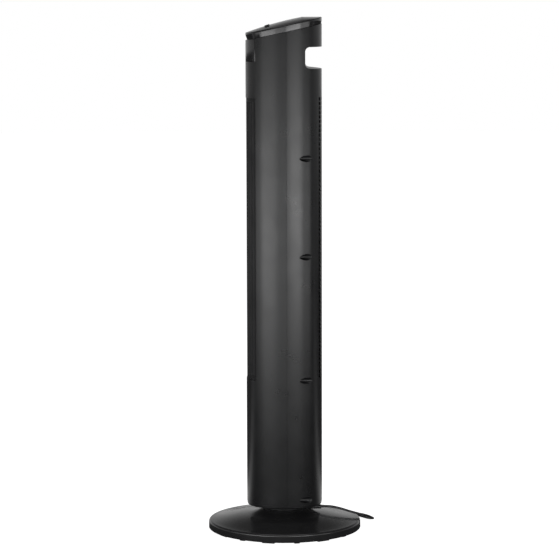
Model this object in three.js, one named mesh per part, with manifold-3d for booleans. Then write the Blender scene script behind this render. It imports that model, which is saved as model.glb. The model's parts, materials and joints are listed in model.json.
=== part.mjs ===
// Tower fan: a slim oscillating column on a round weighted base.
// Millimetres, +Z up, origin on the floor under the middle of the base.
// The front (air outlet) faces -Y, the rear (intake, hand grip and cord) faces +Y.
import * as THREE from "three";
import { mergeVertices } from "three/addons/utils/BufferGeometryUtils.js";
import Module from "manifold-3d";

const wasm = await Module();
wasm.setup();

// ---------------------------------------------------------------- driving dimensions

const GAP = 0.3; // clearance between faces that meet

// Column: a rounded oval in plan, split in two shells at the seam.
const SEAM_Y = 5;
const COLUMN_HALF_WIDTH = 65;
const REAR_DEPTH = 69; // seam to the rearmost line
const FRONT_DEPTH = 79; // seam to the foremost line
const OVAL_POWER = 2.3; // superellipse exponent of the plan
const SHELL_WALL = 2.5;
const COLUMN_BOTTOM = 51;
const SHELL_BOTTOM = 57;

// Slanted lid and the groove below it.
const SHELL_SLOPE = 0.2135; // rise of the shells' top edge towards the rear
const SHELL_FRONT_TOP = 963.4;
const GROOVE_FRONT_HEIGHT = 8;
const GROOVE_REAR_HEIGHT = 2;
const LID_TOP = 1008;
const LID_BREAK_Y = 36; // the crest is level behind this and falls forward of it
const LID_FALL = 0.185; // slope of the crest just forward of the break
const LID_BEND = 0.00082; // how fast the crest steepens further forward
const LID_CROWN = 7.5; // fall from the crest to the side edges
const LID_WALL = 3;
const SKIRT_INSET = 5;

// Front openings.
const OUTLET_HALF_WIDTH = 46.8;
const OUTLET_BOTTOM = 303;
const OUTLET_TOP = 853;
const GRILLE_RECESS = 1.2;
const SLAT_PITCH = 7.8;
const SLAT_COUNT = 11;
const SLAT_THICKNESS = 2;
const SLAT_DEPTH = 11;
const GRILLE_BACK_Y = -47.5;
const PANEL_BOTTOM = 923;

// Rear intake slots and hand grip.
const INTAKE_BOTTOM = 306;
const INTAKE_ROWS = 32;
const INTAKE_PITCH = 17.46;
const INTAKE_SLOT_HEIGHT = 5;
const INTAKE_INNER_X = 18;
const INTAKE_OUTER_X = 31;
const GRIP_BOTTOM = 910;
const GRIP_TOP = 951;
const GRIP_Y = 41.5;
const GRIP_RADIUS = 9;

// Screws that hold the two shells together.
const SCREW_LEVELS = [67, 304, 546, 737];
const SCREW_X = 54.5;
const POCKET_RADIUS = 6.3;
const POCKET_FLOOR_Y = 16;
const SCREW_RADIUS = 1.7;

// Blower.
const WHEEL_Y = 2;
const WHEEL_RADIUS = 42;
const WHEEL_BOTTOM = 306;
const WHEEL_TOP = 846;
const BLADE_COUNT = 18;
const SHAFT_RADIUS = 4;
const DUCT_FLOOR = 297;
const DUCT_CEILING = 853.5;
const DUCT_PLATE = 3;

// Main motor, from its lower cap up.
const MOTOR_BOTTOM = 205;
const STATOR_RADIUS = 36;
const STATOR_BOTTOM = 226;
const STATOR_TOP = 260;
const ROTOR_RADIUS = 20;
const MOTOR_TOP = 281;

// Swing mechanism: a crank pin on the column works in a radial slot of the fixed retainer.
const CRANK_ARM = 24; // column axis to crank axis
const CRANK_THROW = 16.8; // crank axis to pin
const PIN_RADIUS = 2.5;
const PIN_PLAY = 1.2;
const HUB_RADIUS = 30;
const HUB_TOP = 57.4;
const HUB_BORE = 12.5;
const RETAINER_BOTTOM = 57.6;
const RETAINER_TOP = 60.6;
const RETAINER_RADIUS = 38;

// Base.
const BASE_RADIUS = 150;
const BASE_WALL = 2.8;
const RIM_BOTTOM = 3.4;
const RIM_TOP = 19.5;
const RIM_FILLET = 4.5;
const CROWN_TOP = 35;
const NECK_RADIUS = 43;
const NECK_TOP = 49.8;
const FOOT_COUNT = 8;
const FOOT_RING_RADIUS = 138;
const FOOT_TURN = -13; // degrees from +X to the first wide foot
const FOOT_WIDE = 25;
const FOOT_NARROW = 11;

// Mains cord: flat twin lead, 7.6 mm wide.
const CORD_RADIUS = 3.8;
const CORD_Z = 42.5;
const RELIEF_START_Y = 38;
const RELIEF_END_Y = 72;
const COIL = { x: -219, y: -6, inner: 35, outer: 50.5, top: 23.6 };
const PLUG = { x: -264, y: -52.5, z: 8.2 };

// Buttons on the lid.
const BUTTON_NAMES = ["power", "speed", "swing", "timer", "mode"];
const BUTTON_PITCH = 14;
const BUTTON_Y = -32;
const BUTTON_RADIUS = 5;
const BUTTON_PROUD = 1.2;
const BUTTON_LENGTH = 6;

// ---------------------------------------------------------------- solids

// A closed geometry as a manifold solid, facing out.
function solid(geometry) {
  const bare = geometry.index ? geometry.toNonIndexed() : geometry.clone();
  bare.deleteAttribute("normal");
  bare.deleteAttribute("uv");
  const merged = mergeVertices(bare, 1e-4);
  const triVerts = new Uint32Array(merged.index.array);
  const vertProperties = merged.attributes.position.array;
  const made = new wasm.Manifold(new wasm.Mesh({ numProp: 3, vertProperties, triVerts }));
  if (made.volume() > 0) return made;
  for (let i = 0; i < triVerts.length; i += 3) {
    [triVerts[i + 1], triVerts[i + 2]] = [triVerts[i + 2], triVerts[i + 1]];
  }
  return new wasm.Manifold(new wasm.Mesh({ numProp: 3, vertProperties, triVerts }));
}

// A manifold solid as geometry for a mesh.
function geometryOf(made) {
  const mesh = made.getMesh();
  const geometry = new THREE.BufferGeometry();
  const positions = new Float32Array(mesh.numVert * 3);
  for (let i = 0; i < mesh.numVert; i++) {
    const at = i * mesh.numProp;
    positions.set(mesh.vertProperties.subarray(at, at + 3), i * 3);
  }
  geometry.setAttribute("position", new THREE.BufferAttribute(positions, 3));
  geometry.setIndex(new THREE.BufferAttribute(new Uint32Array(mesh.triVerts), 1));
  geometry.computeVertexNormals();
  return geometry;
}

const union = (solids) => solids.reduce((all, one) => all.add(one));

function box(x0, x1, y0, y1, z0, z1) {
  const made = new THREE.BoxGeometry(x1 - x0, y1 - y0, z1 - z0);
  return solid(made.translate((x0 + x1) / 2, (y0 + y1) / 2, (z0 + z1) / 2));
}

// A plan shape raised from z0 to z1.
function prism(shape, z0, z1, curveSegments = 12) {
  const depth = z1 - z0;
  const made = new THREE.ExtrudeGeometry(shape, { depth, bevelEnabled: false, curveSegments });
  return solid(made.translate(0, 0, z0));
}

// A side profile, given as (y, z) points, run across the column from x0 to x1.
function sidePrism(shape, x0, x1) {
  const options = { depth: x1 - x0, bevelEnabled: false, curveSegments: 4 };
  const made = new THREE.ExtrudeGeometry(shape, options);
  const axes = new THREE.Matrix4().makeBasis(
    new THREE.Vector3(0, 1, 0), new THREE.Vector3(0, 0, 1), new THREE.Vector3(1, 0, 0));
  return solid(made.applyMatrix4(axes).translate(x0, 0, 0));
}

function upright(radius, z0, z1, x = 0, y = 0, sides = 24) {
  const made = new THREE.CylinderGeometry(radius, radius, z1 - z0, sides);
  return solid(made.rotateX(Math.PI / 2).translate(x, y, (z0 + z1) / 2));
}

function alongY(radius, y0, y1, x, z, sides = 12) {
  const made = new THREE.CylinderGeometry(radius, radius, y1 - y0, sides);
  return solid(made.translate(x, (y0 + y1) / 2, z));
}

function pipe(outer, inner, z0, z1, x = 0, y = 0, sides = 24) {
  return upright(outer, z0, z1, x, y, sides).subtract(upright(inner, z0 - 1, z1 + 1, x, y, sides));
}

// A closed profile of (radius, height) points turned about Z.
function turned(points, sides) {
  const profile = [...points, points[0]].map(([r, z]) => new THREE.Vector2(r, z));
  return solid(new THREE.LatheGeometry(profile, sides).rotateX(Math.PI / 2));
}

function polygon(points) {
  return new THREE.Shape(points.map(([x, y]) => new THREE.Vector2(x, y)));
}

// ---------------------------------------------------------------- column outline

// One point of the plan outline at a turn angle, drawn in by an inset.
function outlinePoint(angle, inset) {
  const across = Math.cos(angle);
  const along = Math.sin(angle);
  const depth = (along > 0 ? REAR_DEPTH : FRONT_DEPTH) - inset;
  const round = (v) => Math.sign(v) * Math.abs(v) ** (2 / OVAL_POWER);
  return [(COLUMN_HALF_WIDTH - inset) * round(across), SEAM_Y + depth * round(along)];
}

function outline(inset, from = 0, to = 2 * Math.PI, steps = 40) {
  const points = [];
  for (let i = 0; i <= steps; i++) {
    points.push(outlinePoint(from + ((to - from) * i) / steps, inset));
  }
  return points;
}

function ovalPrism(inset, z0, z1) {
  return prism(polygon(outline(inset).slice(0, -1)), z0, z1);
}

// Height of the shells' slanted top edge, and of the lid's lower edge.
const shellTop = (y) => SHELL_FRONT_TOP + SHELL_SLOPE * (y - SEAM_Y + FRONT_DEPTH);
function lidBottom(y) {
  const way = (y - SEAM_Y + FRONT_DEPTH) / (FRONT_DEPTH + REAR_DEPTH);
  return shellTop(y) + GROOVE_FRONT_HEIGHT + (GROOVE_REAR_HEIGHT - GROOVE_FRONT_HEIGHT) * way;
}

// Height of the lid's crest line along the middle: level at the rear, falling ever faster forward.
function lidCrest(y) {
  const forward = Math.max(0, LID_BREAK_Y - y);
  return LID_TOP - LID_FALL * forward - LID_BEND * forward ** 2;
}
const lidSurface = (x, y) => lidCrest(y) - LID_CROWN * (x / COLUMN_HALF_WIDTH) ** 2;

// Everything above the shells' slanted top edge.
function aboveShells() {
  const side = [[-120, shellTop(-120)], [120, shellTop(120)], [120, 1200], [-120, 1200]];
  return sidePrism(polygon(side), -100, 100);
}

// A plate inside the oval outline whose top and bottom follow two height functions.
function contoured(inset, topZ, bottomZ, rings = 3, sides = 32) {
  const positions = [];
  const index = [];
  const rim = outline(inset, 0, 2 * Math.PI, sides).slice(0, -1);
  for (const height of [bottomZ, topZ]) {
    positions.push(0, SEAM_Y, height(0, SEAM_Y));
    for (let ring = 1; ring <= rings; ring++) {
      for (const [x, y] of rim) {
        const px = (x * ring) / rings;
        const py = SEAM_Y + ((y - SEAM_Y) * ring) / rings;
        positions.push(px, py, height(px, py));
      }
    }
  }
  const layer = 1 + rings * sides;
  const at = (level, ring, side) => level * layer + 1 + (ring - 1) * sides + (side % sides);
  for (let side = 0; side < sides; side++) {
    for (const level of [0, 1]) {
      const face = (a, b, c) => (level ? index.push(a, b, c) : index.push(a, c, b));
      face(level * layer, at(level, 1, side), at(level, 1, side + 1));
      for (let ring = 1; ring < rings; ring++) {
        const [a, b] = [at(level, ring, side), at(level, ring, side + 1)];
        const [c, d] = [at(level, ring + 1, side), at(level, ring + 1, side + 1)];
        face(a, c, d);
        face(a, d, b);
      }
    }
    const [a, b] = [at(0, rings, side), at(0, rings, side + 1)];
    const [c, d] = [at(1, rings, side), at(1, rings, side + 1)];
    index.push(a, b, d, a, d, c);
  }
  const geometry = new THREE.BufferGeometry();
  geometry.setAttribute("position", new THREE.Float32BufferAttribute(positions, 3));
  geometry.setIndex(index);
  return solid(geometry);
}

// ---------------------------------------------------------------- shells and covers

const TALL = 1100;
const REAR_FACETS = 14;
const FRONT_FACETS = 20;

// The bare wall of one half of the column.
function halfWall(from, to, steps) {
  const ring = [...outline(0, from, to, steps), ...outline(SHELL_WALL, to, from, steps)];
  return prism(polygon(ring), SHELL_BOTTOM, TALL);
}

// The grip's hollow as a side profile with round inner corners, grown by a margin.
function gripProfile(margin) {
  const shape = new THREE.Shape();
  const radius = GRIP_RADIUS + margin;
  const [low, high, inner, outer] = [GRIP_BOTTOM - margin, GRIP_TOP + margin, GRIP_Y - margin, 90];
  shape.moveTo(outer, low - 4);
  shape.lineTo(outer, high);
  shape.lineTo(inner + radius, high);
  shape.absarc(inner + radius, high - radius, radius, Math.PI / 2, Math.PI, false);
  shape.lineTo(inner, low + radius);
  shape.absarc(inner + radius, low + radius, radius, Math.PI, 1.5 * Math.PI, false);
  return shape;
}

function intakeSlots() {
  const slots = [];
  for (let row = 0; row < INTAKE_ROWS; row++) {
    const z = INTAKE_BOTTOM + row * INTAKE_PITCH;
    for (const side of [-1, 1]) {
      const [a, b] = [side * INTAKE_INNER_X, side * INTAKE_OUTER_X];
      slots.push(box(Math.min(a, b), Math.max(a, b), 40, 90, z, z + INTAKE_SLOT_HEIGHT));
    }
  }
  return union(slots);
}

function screwPlaces() {
  return SCREW_LEVELS.flatMap((z) => [-1, 1].map((side) => ({ side, x: side * SCREW_X, z })));
}

function rearShell() {
  const inside = prism(polygon(outline(0.2, 0, Math.PI, REAR_FACETS)), SHELL_BOTTOM, TALL);
  let shell = halfWall(0, Math.PI, REAR_FACETS);
  shell = shell.add(sidePrism(gripProfile(SHELL_WALL), -80, 80).intersect(inside));
  for (const { x, z } of screwPlaces()) {
    const post = alongY(4.4, SEAM_Y + GAP, POCKET_FLOOR_Y, x, z, 12);
    const pocket = alongY(POCKET_RADIUS + 1.9, POCKET_FLOOR_Y - 2.5, 70, x, z);
    shell = shell.add(post.add(pocket).intersect(inside));
  }
  for (const { x, z } of screwPlaces()) {
    shell = shell.subtract(alongY(POCKET_RADIUS, POCKET_FLOOR_Y, 90, x, z));
    shell = shell.subtract(alongY(SCREW_RADIUS + GAP, 0, 90, x, z, 12));
  }
  return shell
    .subtract(sidePrism(gripProfile(0), -90, 90))
    .subtract(intakeSlots())
    .subtract(aboveShells());
}

function frontShell() {
  let shell = halfWall(Math.PI + 0.004, 2 * Math.PI - 0.004, FRONT_FACETS);
  for (const { side, x, z } of screwPlaces()) {
    const boss = alongY(4.4, -9, SEAM_Y, x, z, 12);
    const rib = box(Math.min(x, side * 63.4), Math.max(x, side * 63.4), -9, SEAM_Y - GAP, z - 1.5, z + 1.5);
    shell = shell.add(boss.add(rib)).subtract(alongY(SCREW_RADIUS + 0.1, -7, 20, x, z, 12));
  }
  const half = OUTLET_HALF_WIDTH;
  return shell
    .subtract(box(-half, half, -100, -30, OUTLET_BOTTOM, OUTLET_TOP))
    .subtract(box(-half, half, -100, -30, PANEL_BOTTOM - GAP, TALL))
    .subtract(aboveShells());
}

// The outlet grille: upright slats in a frame, a little behind the shell's face.
function frontGrille() {
  const half = OUTLET_HALF_WIDTH - GAP;
  const [low, high] = [OUTLET_BOTTOM + GAP, OUTLET_TOP - GAP];
  const slats = [];
  for (let i = 0; i < SLAT_COUNT; i++) {
    const x = (i - (SLAT_COUNT - 1) / 2) * SLAT_PITCH;
    slats.push(box(x - SLAT_THICKNESS / 2, x + SLAT_THICKNESS / 2, -100, -30, low, high));
  }
  for (const side of [-1, 1]) {
    const [a, b] = [side * half, side * (half - 2.5)];
    slats.push(box(Math.min(a, b), Math.max(a, b), -100, -30, low, high));
  }
  const band = ovalPrism(GRILLE_RECESS, low, high).subtract(
    ovalPrism(GRILLE_RECESS + SLAT_DEPTH, low - 1, high + 1));
  const backing = ovalPrism(GRILLE_RECESS + 4, low, high).subtract(
    ovalPrism(GRILLE_RECESS + SLAT_DEPTH, low - 1, high + 1));
  const cross = (z0, z1, ring) => box(-half, half, -100, -30, z0, z1).intersect(ring);
  const bars = [cross(low, low + 7, band), cross(high - 7, high, band)];
  for (const way of [1 / 3, 2 / 3]) {
    const z = low + (high - low) * way;
    bars.push(cross(z - 1.5, z + 1.5, backing));
  }
  const forward = box(-half, half, -100, GRILLE_BACK_Y, low, high);
  return union(slats).intersect(band).add(union(bars)).intersect(forward);
}

function displayPanel() {
  const half = OUTLET_HALF_WIDTH - GAP;
  const ring = ovalPrism(0, PANEL_BOTTOM, TALL).subtract(ovalPrism(3, PANEL_BOTTOM - 1, TALL + 1));
  return ring.intersect(box(-half, half, -100, -30, PANEL_BOTTOM, TALL)).subtract(aboveShells());
}

function lid() {
  const outer = contoured(0, lidSurface, (x, y) => lidBottom(y));
  const skirt = contoured(SKIRT_INSET, (x, y) => lidBottom(y) + 1, (x, y) => shellTop(y) - 4, 2);
  const hollow = contoured(
    SKIRT_INSET + 2, (x, y) => lidSurface(x, y) - LID_WALL, (x, y) => shellTop(y) - 20);
  const holes = buttonPlaces().map((at) => buttonStem(at, BUTTON_RADIUS + 0.35, -12, 4));
  return outer.add(skirt).subtract(hollow).subtract(union(holes));
}

function bottomPlate() {
  const levels = [[4, COLUMN_BOTTOM], [0.8, COLUMN_BOTTOM + 2.2]];
  const layers = levels.map(([inset, z]) => ovalPrism(inset, z, SHELL_BOTTOM - GAP));
  return union(layers).subtract(upright(HUB_RADIUS + 0.8, 40, 70, 0, 0, 40));
}

// ---------------------------------------------------------------- buttons and boards

// Place and tilt of each button: in a row across the lid, square to its slope.
function buttonPlaces() {
  const slope = Math.atan(LID_FALL + 2 * LID_BEND * (LID_BREAK_Y - BUTTON_Y));
  return BUTTON_NAMES.map((name, i) => {
    const x = (i - (BUTTON_NAMES.length - 1) / 2) * BUTTON_PITCH;
    return { name, x, y: BUTTON_Y, z: lidSurface(x, BUTTON_Y), slope };
  });
}

// A round stem along a button's tilted axis, between two heights above the lid's surface.
function buttonStem({ x, y, z, slope }, radius, low, high) {
  const made = new THREE.CylinderGeometry(radius, radius, high - low, 14);
  made.rotateX(Math.PI / 2).translate(0, 0, (low + high) / 2);
  return solid(made.rotateX(slope).translate(x, y, z));
}

// A button: its cap stands proud of the lid, and a flange below the lid keeps it in.
function button(at) {
  const cap = buttonStem(at, BUTTON_RADIUS, -BUTTON_LENGTH, BUTTON_PROUD);
  return cap.add(buttonStem(at, BUTTON_RADIUS + 1.4, -BUTTON_LENGTH, 1 - BUTTON_LENGTH));
}

function buttonBoard() {
  const { slope } = buttonPlaces()[0];
  const made = new THREE.BoxGeometry(84, 26, 1.6).translate(0, 0, -BUTTON_LENGTH - 5);
  return solid(made.rotateX(slope).translate(0, BUTTON_Y, lidCrest(BUTTON_Y)));
}

// ---------------------------------------------------------------- blower and motor

// Crossflow wheel: a cage of slanted blades between discs, with a hub for the motor shaft.
function blowerWheel() {
  const pieces = [];
  for (let i = 0; i < BLADE_COUNT; i++) {
    const blade = new THREE.BoxGeometry(9, 1.2, WHEEL_TOP - WHEEL_BOTTOM - 1);
    blade.rotateZ(0.6).translate(WHEEL_RADIUS - 5.5, 0, (WHEEL_TOP + WHEEL_BOTTOM) / 2);
    pieces.push(solid(blade.rotateZ((i * 2 * Math.PI) / BLADE_COUNT).translate(0, WHEEL_Y, 0)));
  }
  const disc = (z, inner) => pipe(WHEEL_RADIUS, inner, z, z + 2, 0, WHEEL_Y, 18);
  const span = WHEEL_TOP - WHEEL_BOTTOM - 2;
  pieces.push(disc(WHEEL_BOTTOM, SHAFT_RADIUS + 0.1), disc(WHEEL_TOP - 2, 3.1));
  pieces.push(disc(WHEEL_BOTTOM + span / 2, 29));
  pieces.push(pipe(9, SHAFT_RADIUS + 0.1, WHEEL_BOTTOM - 5, WHEEL_BOTTOM + 12, 0, WHEEL_Y, 18));
  return union(pieces);
}

const wheelPin = () => upright(3, WHEEL_TOP - 12, DUCT_CEILING + 8, 0, WHEEL_Y, 18);
const motorShaft = () => upright(SHAFT_RADIUS, MOTOR_BOTTOM - 4, WHEEL_BOTTOM + 10, 0, WHEEL_Y, 18);
const motorRotor = () =>
  pipe(ROTOR_RADIUS, SHAFT_RADIUS + 0.1, STATOR_BOTTOM, STATOR_TOP, 0, WHEEL_Y, 18);
const motorStator = () =>
  pipe(STATOR_RADIUS, ROTOR_RADIUS + 0.6, STATOR_BOTTOM, STATOR_TOP, 0, WHEEL_Y, 18);

function motorWinding(z0, z1) {
  return pipe(STATOR_RADIUS - 4, ROTOR_RADIUS + 1.5, z0, z1, 0, WHEEL_Y, 18);
}

// A bearing cap: a shallow cup over one end of the motor.
function motorCap(bottom, top, openUp) {
  const cup = upright(STATOR_RADIUS + 2, bottom, top, 0, WHEEL_Y, 18);
  const [from, to] = openUp ? [bottom + 4, top + 1] : [bottom - 1, top - 4];
  return cup.subtract(upright(STATOR_RADIUS - 0.5, from, to, 0, WHEEL_Y, 18))
    .subtract(upright(SHAFT_RADIUS + 0.1, bottom - 1, top + 1, 0, WHEEL_Y, 18));
}

// The cradle hangs the motor under the duct floor.
function motorCradle() {
  const outer = STATOR_RADIUS + 5;
  const tube = pipe(outer, STATOR_RADIUS + 2.3, MOTOR_BOTTOM - 4, DUCT_FLOOR - GAP, 0, WHEEL_Y, 18);
  const floor = pipe(outer, 12, MOTOR_BOTTOM - 4, MOTOR_BOTTOM - GAP, 0, WHEEL_Y, 18);
  const flange = pipe(outer + 4.5, outer - 1, DUCT_FLOOR - 4, DUCT_FLOOR - GAP, 0, WHEEL_Y, 18);
  const vents = [0, 1].map((i) => {
    const vent = new THREE.BoxGeometry(2 * outer + 4, 18, 46).rotateZ((i * Math.PI) / 2);
    return solid(vent.translate(0, WHEEL_Y, (MOTOR_BOTTOM + MOTOR_TOP) / 2));
  });
  return tube.subtract(union(vents)).add(floor).add(flange);
}

function ductPlate(z, bore) {
  return ovalPrism(SHELL_WALL + 0.6, z, z + DUCT_PLATE)
    .subtract(box(-80, 80, -100, -60, z - 1, z + 9))
    .subtract(screwClearance(z))
    .subtract(upright(bore, z - 1, z + 9, 0, WHEEL_Y, 18));
}

// Room round the screw pockets where a plate passes them.
function screwClearance(z) {
  return union([-1, 1].map((side) => box(
    side * SCREW_X - 12, side * SCREW_X + 12, -12, 62, z - 1, z + 9)));
}

const upperBearing = () =>
  pipe(8.8, 3.1, DUCT_CEILING - 2, DUCT_CEILING + 6, 0, WHEEL_Y, 18);

// A wall of even thickness along a plan line, from the duct floor to its ceiling.
function ductWall(line, thickness) {
  const curve = new THREE.SplineCurve(line.map(([x, y]) => new THREE.Vector2(x, y)));
  const steps = 16;
  const [near, far] = [[], []];
  for (let i = 0; i <= steps; i++) {
    const at = curve.getPoint(i / steps);
    const along = curve.getTangent(i / steps);
    near.push([at.x - (along.y * thickness) / 2, at.y + (along.x * thickness) / 2]);
    far.unshift([at.x + (along.y * thickness) / 2, at.y - (along.x * thickness) / 2]);
  }
  return prism(polygon([...near, ...far]), DUCT_FLOOR + DUCT_PLATE + GAP, DUCT_CEILING - GAP);
}

// Scroll: a spiral wall that opens from the rear of the wheel round to the outlet.
function scrollWall() {
  const line = [];
  for (let i = 0; i <= 8; i++) {
    const turn = (100 + i * 15.75) * (Math.PI / 180);
    const radius = 44 + 2.6 * (i / 8) + 15 * (i / 8) ** 5;
    line.push([radius * Math.cos(turn), WHEEL_Y + radius * Math.sin(turn)]);
  }
  return ductWall(line, 1.8);
}

const vortexWall = () => ductWall([[41, -46], [37, -39], [37, -30], [44, -25], [52, -28]], 1.8);

// ---------------------------------------------------------------- swing mechanism

function swingMotorBracket() {
  const plate = box(-48, 48, -CRANK_ARM - 12, -CRANK_ARM + 12, 65.8, 67.8)
    .subtract(upright(6, 60, 70, 0, -CRANK_ARM, 20));
  const leg = (side) => {
    const [a, b] = [side * 42, side * 48];
    return box(Math.min(a, b), Math.max(a, b), -CRANK_ARM - 5, -CRANK_ARM + 5, SHELL_BOTTOM, 66);
  };
  return union([plate, leg(-1), leg(1)]);
}

const swingMotor = () =>
  upright(25, 68.1, 88, 0, -CRANK_ARM, 32).add(upright(3, 64, 69, 0, -CRANK_ARM, 16));

function swingCrank() {
  const disc = upright(CRANK_THROW + 4.5, 61.4, 65.2, 0, -CRANK_ARM, 32)
    .subtract(upright(3.1, 63.5, 70, 0, -CRANK_ARM, 16));
  return disc.add(upright(PIN_RADIUS, 58.2, 62, 0, -CRANK_ARM - CRANK_THROW, 16));
}

// The fixed retainer: holds the column down and guides the crank pin in its slot.
function swivelRetainer() {
  const plate = upright(RETAINER_RADIUS, RETAINER_BOTTOM, RETAINER_TOP)
    .add(box(-8, 8, -49, 0, RETAINER_BOTTOM, RETAINER_TOP));
  const half = PIN_RADIUS + PIN_PLAY;
  const slot = box(-half, half, -45, -25, 50, 70);
  const holes = hubScrewPlaces().map(([x, y]) => upright(2.1, 50, 70, x, y, 12));
  return plate.subtract(union([slot, upright(HUB_BORE, 50, 70, 0, 0, 16), ...holes]));
}

function hubScrewPlaces() {
  return [25, 90, 155].map((turn) => {
    const angle = turn * (Math.PI / 180);
    return [22 * Math.cos(angle), 22 * Math.sin(angle)];
  });
}

function hubScrew([x, y]) {
  return upright(3.4, RETAINER_TOP + 0.1, RETAINER_TOP + 2, x, y, 10)
    .add(upright(1.8, 50.5, RETAINER_TOP + 1, x, y, 8));
}

function caseScrew({ x, z }) {
  return alongY(3.6, POCKET_FLOOR_Y + 0.2, POCKET_FLOOR_Y + 2.8, x, z, 10)
    .add(alongY(SCREW_RADIUS, -6, POCKET_FLOOR_Y + 1, x, z, 8));
}

// ---------------------------------------------------------------- base

// Height of the base's crown at a radius: a low swell from the rim up to the neck.
function crownHeight(radius) {
  const way = (BASE_RADIUS - RIM_FILLET - radius) / (BASE_RADIUS - RIM_FILLET - NECK_RADIUS);
  return RIM_TOP + (CROWN_TOP - RIM_TOP) * Math.sin((way * Math.PI) / 2) ** 1.25;
}

const CROWN_STEPS = 4;
const BASE_FACETS = 40;

function baseCover() {
  const top = [];
  for (let i = 0; i <= 3; i++) {
    const turn = (i * Math.PI) / 6;
    top.push([BASE_RADIUS - RIM_FILLET * (1 - Math.cos(turn)),
      RIM_TOP - RIM_FILLET * (1 - Math.sin(turn))]);
  }
  const crown = [];
  for (let i = 1; i <= CROWN_STEPS; i++) {
    const radius = BASE_RADIUS - RIM_FILLET - i * (BASE_RADIUS - RIM_FILLET - NECK_RADIUS) / CROWN_STEPS;
    crown.push([radius, crownHeight(radius)]);
  }
  const under = [...crown].reverse().slice(1).map(([r, z]) => [r, z - BASE_WALL]);
  const body = turned([
    [BASE_RADIUS, RIM_BOTTOM], ...top, ...crown,
    [NECK_RADIUS, NECK_TOP], [HUB_RADIUS, NECK_TOP], [HUB_RADIUS, HUB_TOP], [HUB_BORE, HUB_TOP],
    [HUB_BORE, NECK_TOP - 3], [NECK_RADIUS - 3, NECK_TOP - 3], [NECK_RADIUS - 3, CROWN_TOP - BASE_WALL],
    ...under, [BASE_RADIUS - BASE_WALL, RIM_TOP - BASE_WALL - 1], [BASE_RADIUS - BASE_WALL, RIM_BOTTOM],
  ], BASE_FACETS);
  const pilots = hubScrewPlaces().map(([x, y]) => upright(1.9, 45, 70, x, y, 12));
  return body.subtract(union([alongY(4.6, 30, 60, 0, CORD_Z), ...pilots]));
}

function basePlate() {
  const plate = upright(BASE_RADIUS - BASE_WALL - GAP, RIM_BOTTOM, RIM_BOTTOM + 2.6, 0, 0, BASE_FACETS);
  return plate.subtract(upright(16, 0, 20, 0, 0, 24));
}

const baseWeight = () => pipe(126, 52, RIM_BOTTOM + 2.9, RIM_BOTTOM + 11);

// The foot ring: a thin hoop with a wide pad every 45 degrees and a narrow one between.
function footRing() {
  const hoop = pipe(FOOT_RING_RADIUS + 6, FOOT_RING_RADIUS - 6, 1.9, RIM_BOTTOM - 0.1);
  const pads = [];
  for (let i = 0; i < 2 * FOOT_COUNT; i++) {
    const width = i % 2 ? FOOT_NARROW : FOOT_WIDE;
    const pad = new THREE.BoxGeometry(12, width, 2.4).translate(FOOT_RING_RADIUS - 0.8, 0, 1.2);
    const turn = FOOT_TURN + (i * 180) / FOOT_COUNT;
    pads.push(solid(pad.rotateZ(turn * (Math.PI / 180))));
  }
  return hoop.add(union(pads));
}

const swivelWasher = () => pipe(41, 31.5, NECK_TOP + 0.1, COLUMN_BOTTOM - 0.1);

// ---------------------------------------------------------------- mains cord

// The strain relief: a spigot through the neck wall, a collar and a tapered sleeve.
function strainRelief() {
  const profile = [
    [0, 0], [4.2, 0], [4.2, 5.4], [5.9, 5.4], [5.9, 7.7], [5.2, 7.9],
    [4.1, RELIEF_END_Y - RELIEF_START_Y], [0, RELIEF_END_Y - RELIEF_START_Y],
  ];
  const lathe = new THREE.LatheGeometry(profile.map(([r, z]) => new THREE.Vector2(r, z)), 16);
  return solid(lathe.translate(0, RELIEF_START_Y, CORD_Z));
}

// The laid stretch: under the column's rear edge, over the base's rim and round behind the base.
const CORD_ROUTE = [
  [0, RELIEF_END_Y, CORD_Z], [0, 84, 43.3], [-1, 97, 41.6], [-4, 112, 37.5], [-8, 130, 31], [-13, 148, 25],
  [-20, 162, 20.5], [-33, 173, 13], [-51, 175, 6.8], [-70, 167, 4.2], [-88, 154, 4], [-106, 137, 4],
  [-126, 112, 4], [-143, 84, 4], [-155, 56, 4], [-161, 30, 4],
];

function cordLead() {
  const route = CORD_ROUTE.map(([x, y, z]) => new THREE.Vector3(x, y, z));
  route[0].y += GAP;
  const path = new THREE.CatmullRomCurve3(route);
  const section = new THREE.Shape();
  for (let i = 0; i <= 8; i++) {
    const turn = (i * Math.PI) / 4;
    const [x, y] = [CORD_RADIUS * Math.cos(turn), CORD_RADIUS * Math.sin(turn)];
    if (i === 0) section.moveTo(x, y);
    else if (i < 8) section.lineTo(x, y);
  }
  return solid(new THREE.ExtrudeGeometry(section, { steps: 30, extrudePath: path, bevelEnabled: false }));
}

const cordCoil = () => pipe(COIL.outer, COIL.inner, 0.2, COIL.top, COIL.x, COIL.y, 36);

function plugBody() {
  const shape = new THREE.Shape();
  shape.moveTo(0, -5);
  shape.lineTo(-8, -8);
  shape.lineTo(-30, -12);
  shape.lineTo(-34, -12);
  shape.lineTo(-34, 12);
  shape.lineTo(-30, 12);
  shape.lineTo(-8, 8);
  shape.lineTo(0, 5);
  const block = new THREE.ExtrudeGeometry(shape, { depth: 16, bevelEnabled: false });
  return solid(block.translate(PLUG.x, PLUG.y, PLUG.z - 8));
}

function plugBlade(side) {
  const tip = PLUG.x - 34 - GAP;
  const y = PLUG.y + side * 6.35;
  return box(tip - 17, tip, y - 0.75, y + 0.75, PLUG.z - 3.2, PLUG.z + 3.2);
}

// ---------------------------------------------------------------- materials

function material(color, roughness, metalness = 0) {
  return new THREE.MeshStandardMaterial({ color, roughness, metalness });
}

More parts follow.
